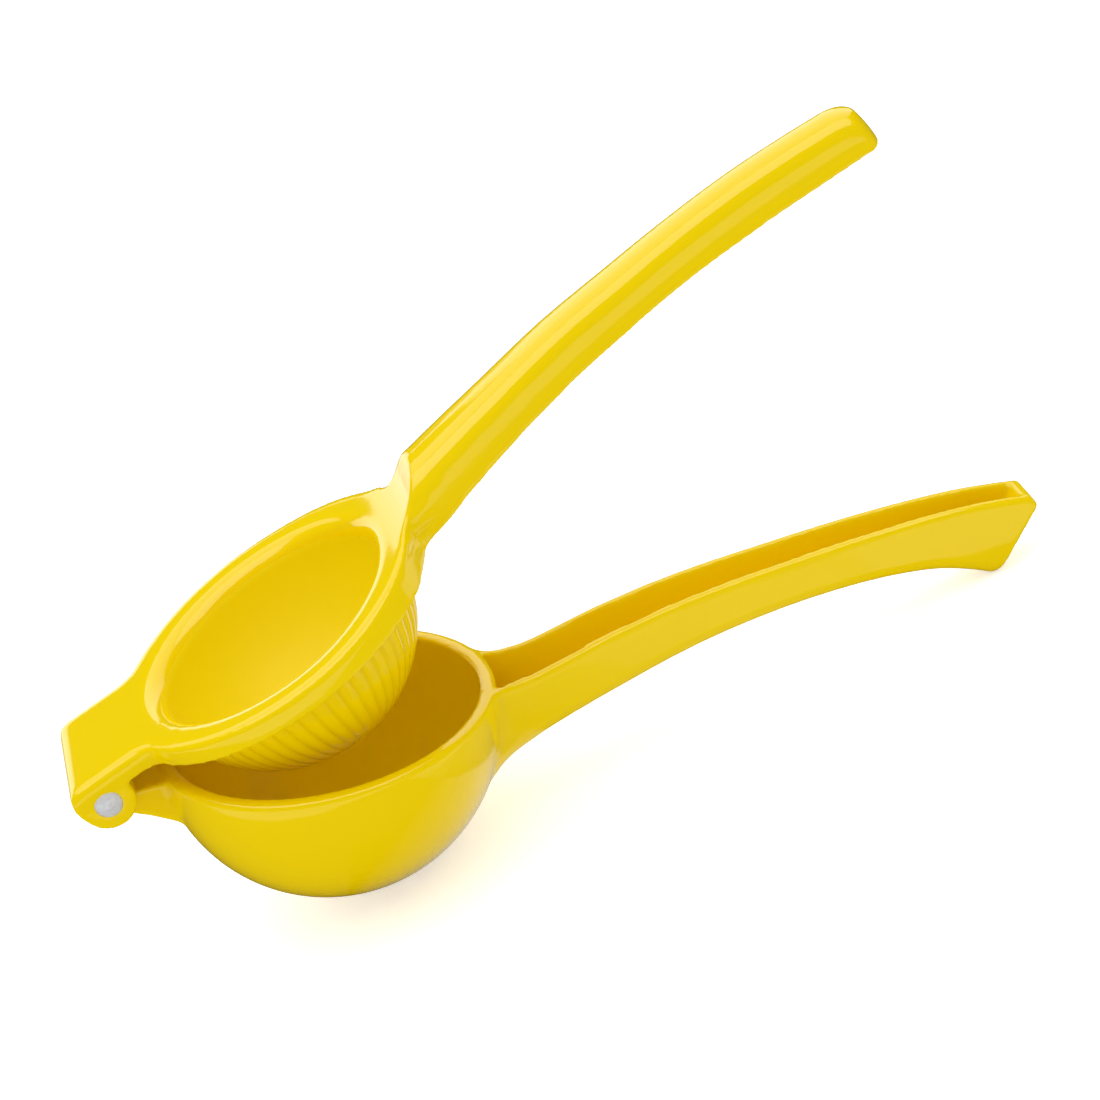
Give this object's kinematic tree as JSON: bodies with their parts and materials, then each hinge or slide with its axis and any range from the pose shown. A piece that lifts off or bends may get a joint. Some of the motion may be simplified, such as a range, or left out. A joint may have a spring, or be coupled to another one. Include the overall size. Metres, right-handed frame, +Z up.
{
  "type": "lemon squeezer",
  "caption": "Hand-held hinged lemon squeezer: a strainer cup and a fluted press bowl on two long arms that close about a rivet.",
  "frame": {"origin": "on the table, under the middle of the opened tool's length", "axes": "+X from the hinge towards the handles' ends, +Y across the arms along the hinge rivet, +Z up from the table"},
  "size_m": [0.2086, 0.0738, 0.1114],
  "materials": {
    "cup_enamel": "gloss yellow enamel on cast aluminium",
    "press_enamel": "gloss yellow enamel on cast aluminium",
    "rivet_metal": "bare, satin"
  },
  "bodies": {
    "cup_arm": {"cup_arm": "cup_enamel"},
    "press_arm": {"press_arm": "press_enamel", "hinge_rivet": "rivet_metal"}
  },
  "joints": [
    {"name": "arm_hinge", "type": "hinge", "parent": "cup_arm", "child": "press_arm", "pos_m": [-0.09732, 0, 0.05009], "axis": [0, -1, 0], "range_deg": [-22.2, 72]}
  ]
}
